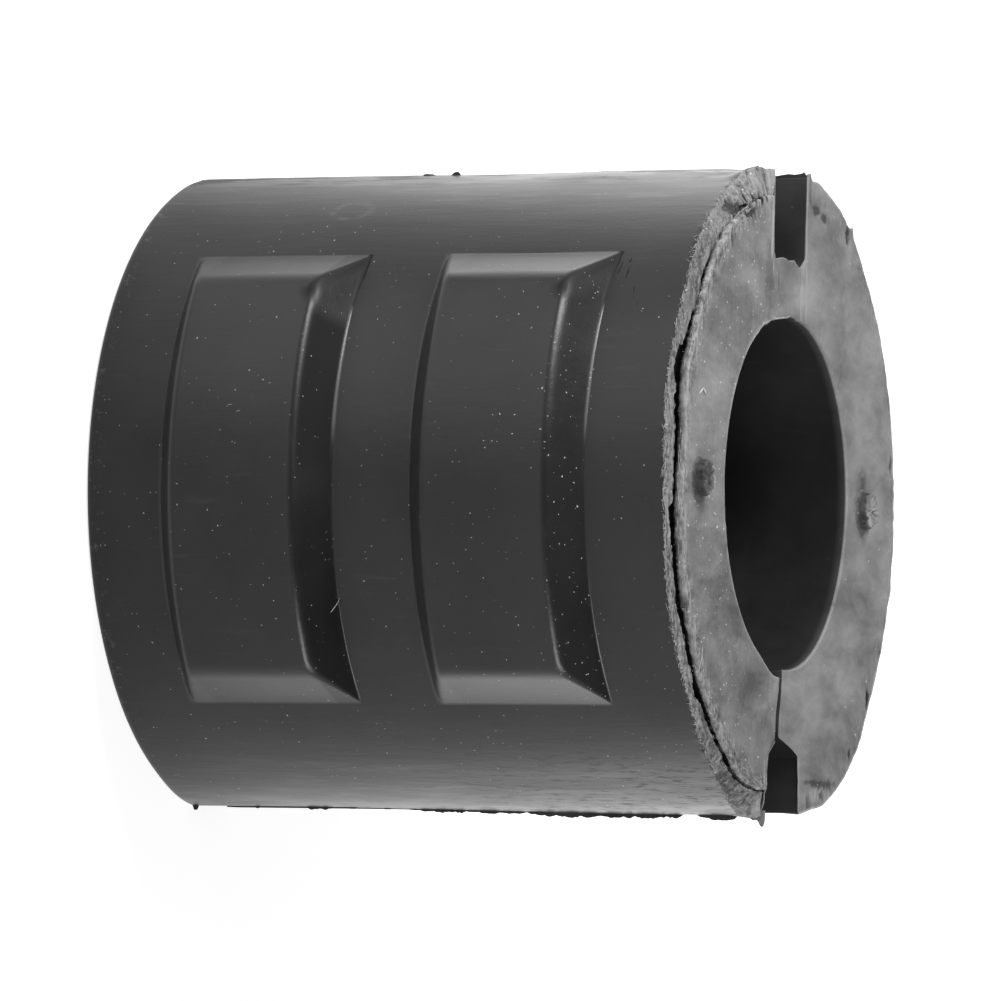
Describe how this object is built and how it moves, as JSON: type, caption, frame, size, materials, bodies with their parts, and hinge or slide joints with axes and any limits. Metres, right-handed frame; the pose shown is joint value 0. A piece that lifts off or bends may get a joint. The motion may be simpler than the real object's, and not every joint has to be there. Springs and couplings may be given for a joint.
{
  "type": "sway bar bushing",
  "caption": "Split rubber bushing that grips an anti-roll bar in its bore and keys into its bracket with raised pads.",
  "frame": {"origin": "on the bore's axis in the plane of the plain end face, which the bushing stands on", "axes": "+Z along the bore towards the torn end with the gate stubs; the hinge slot faces -X, the split slot and slit face +X, and the pads face -Y and +Y"},
  "size_m": [0.0694, 0.079, 0.0687],
  "materials": {
    "rubber": "satin moulded black rubber, torn grey on one end face"
  },
  "bodies": {
    "root": {"bushing": "rubber"}
  },
  "joints": []
}
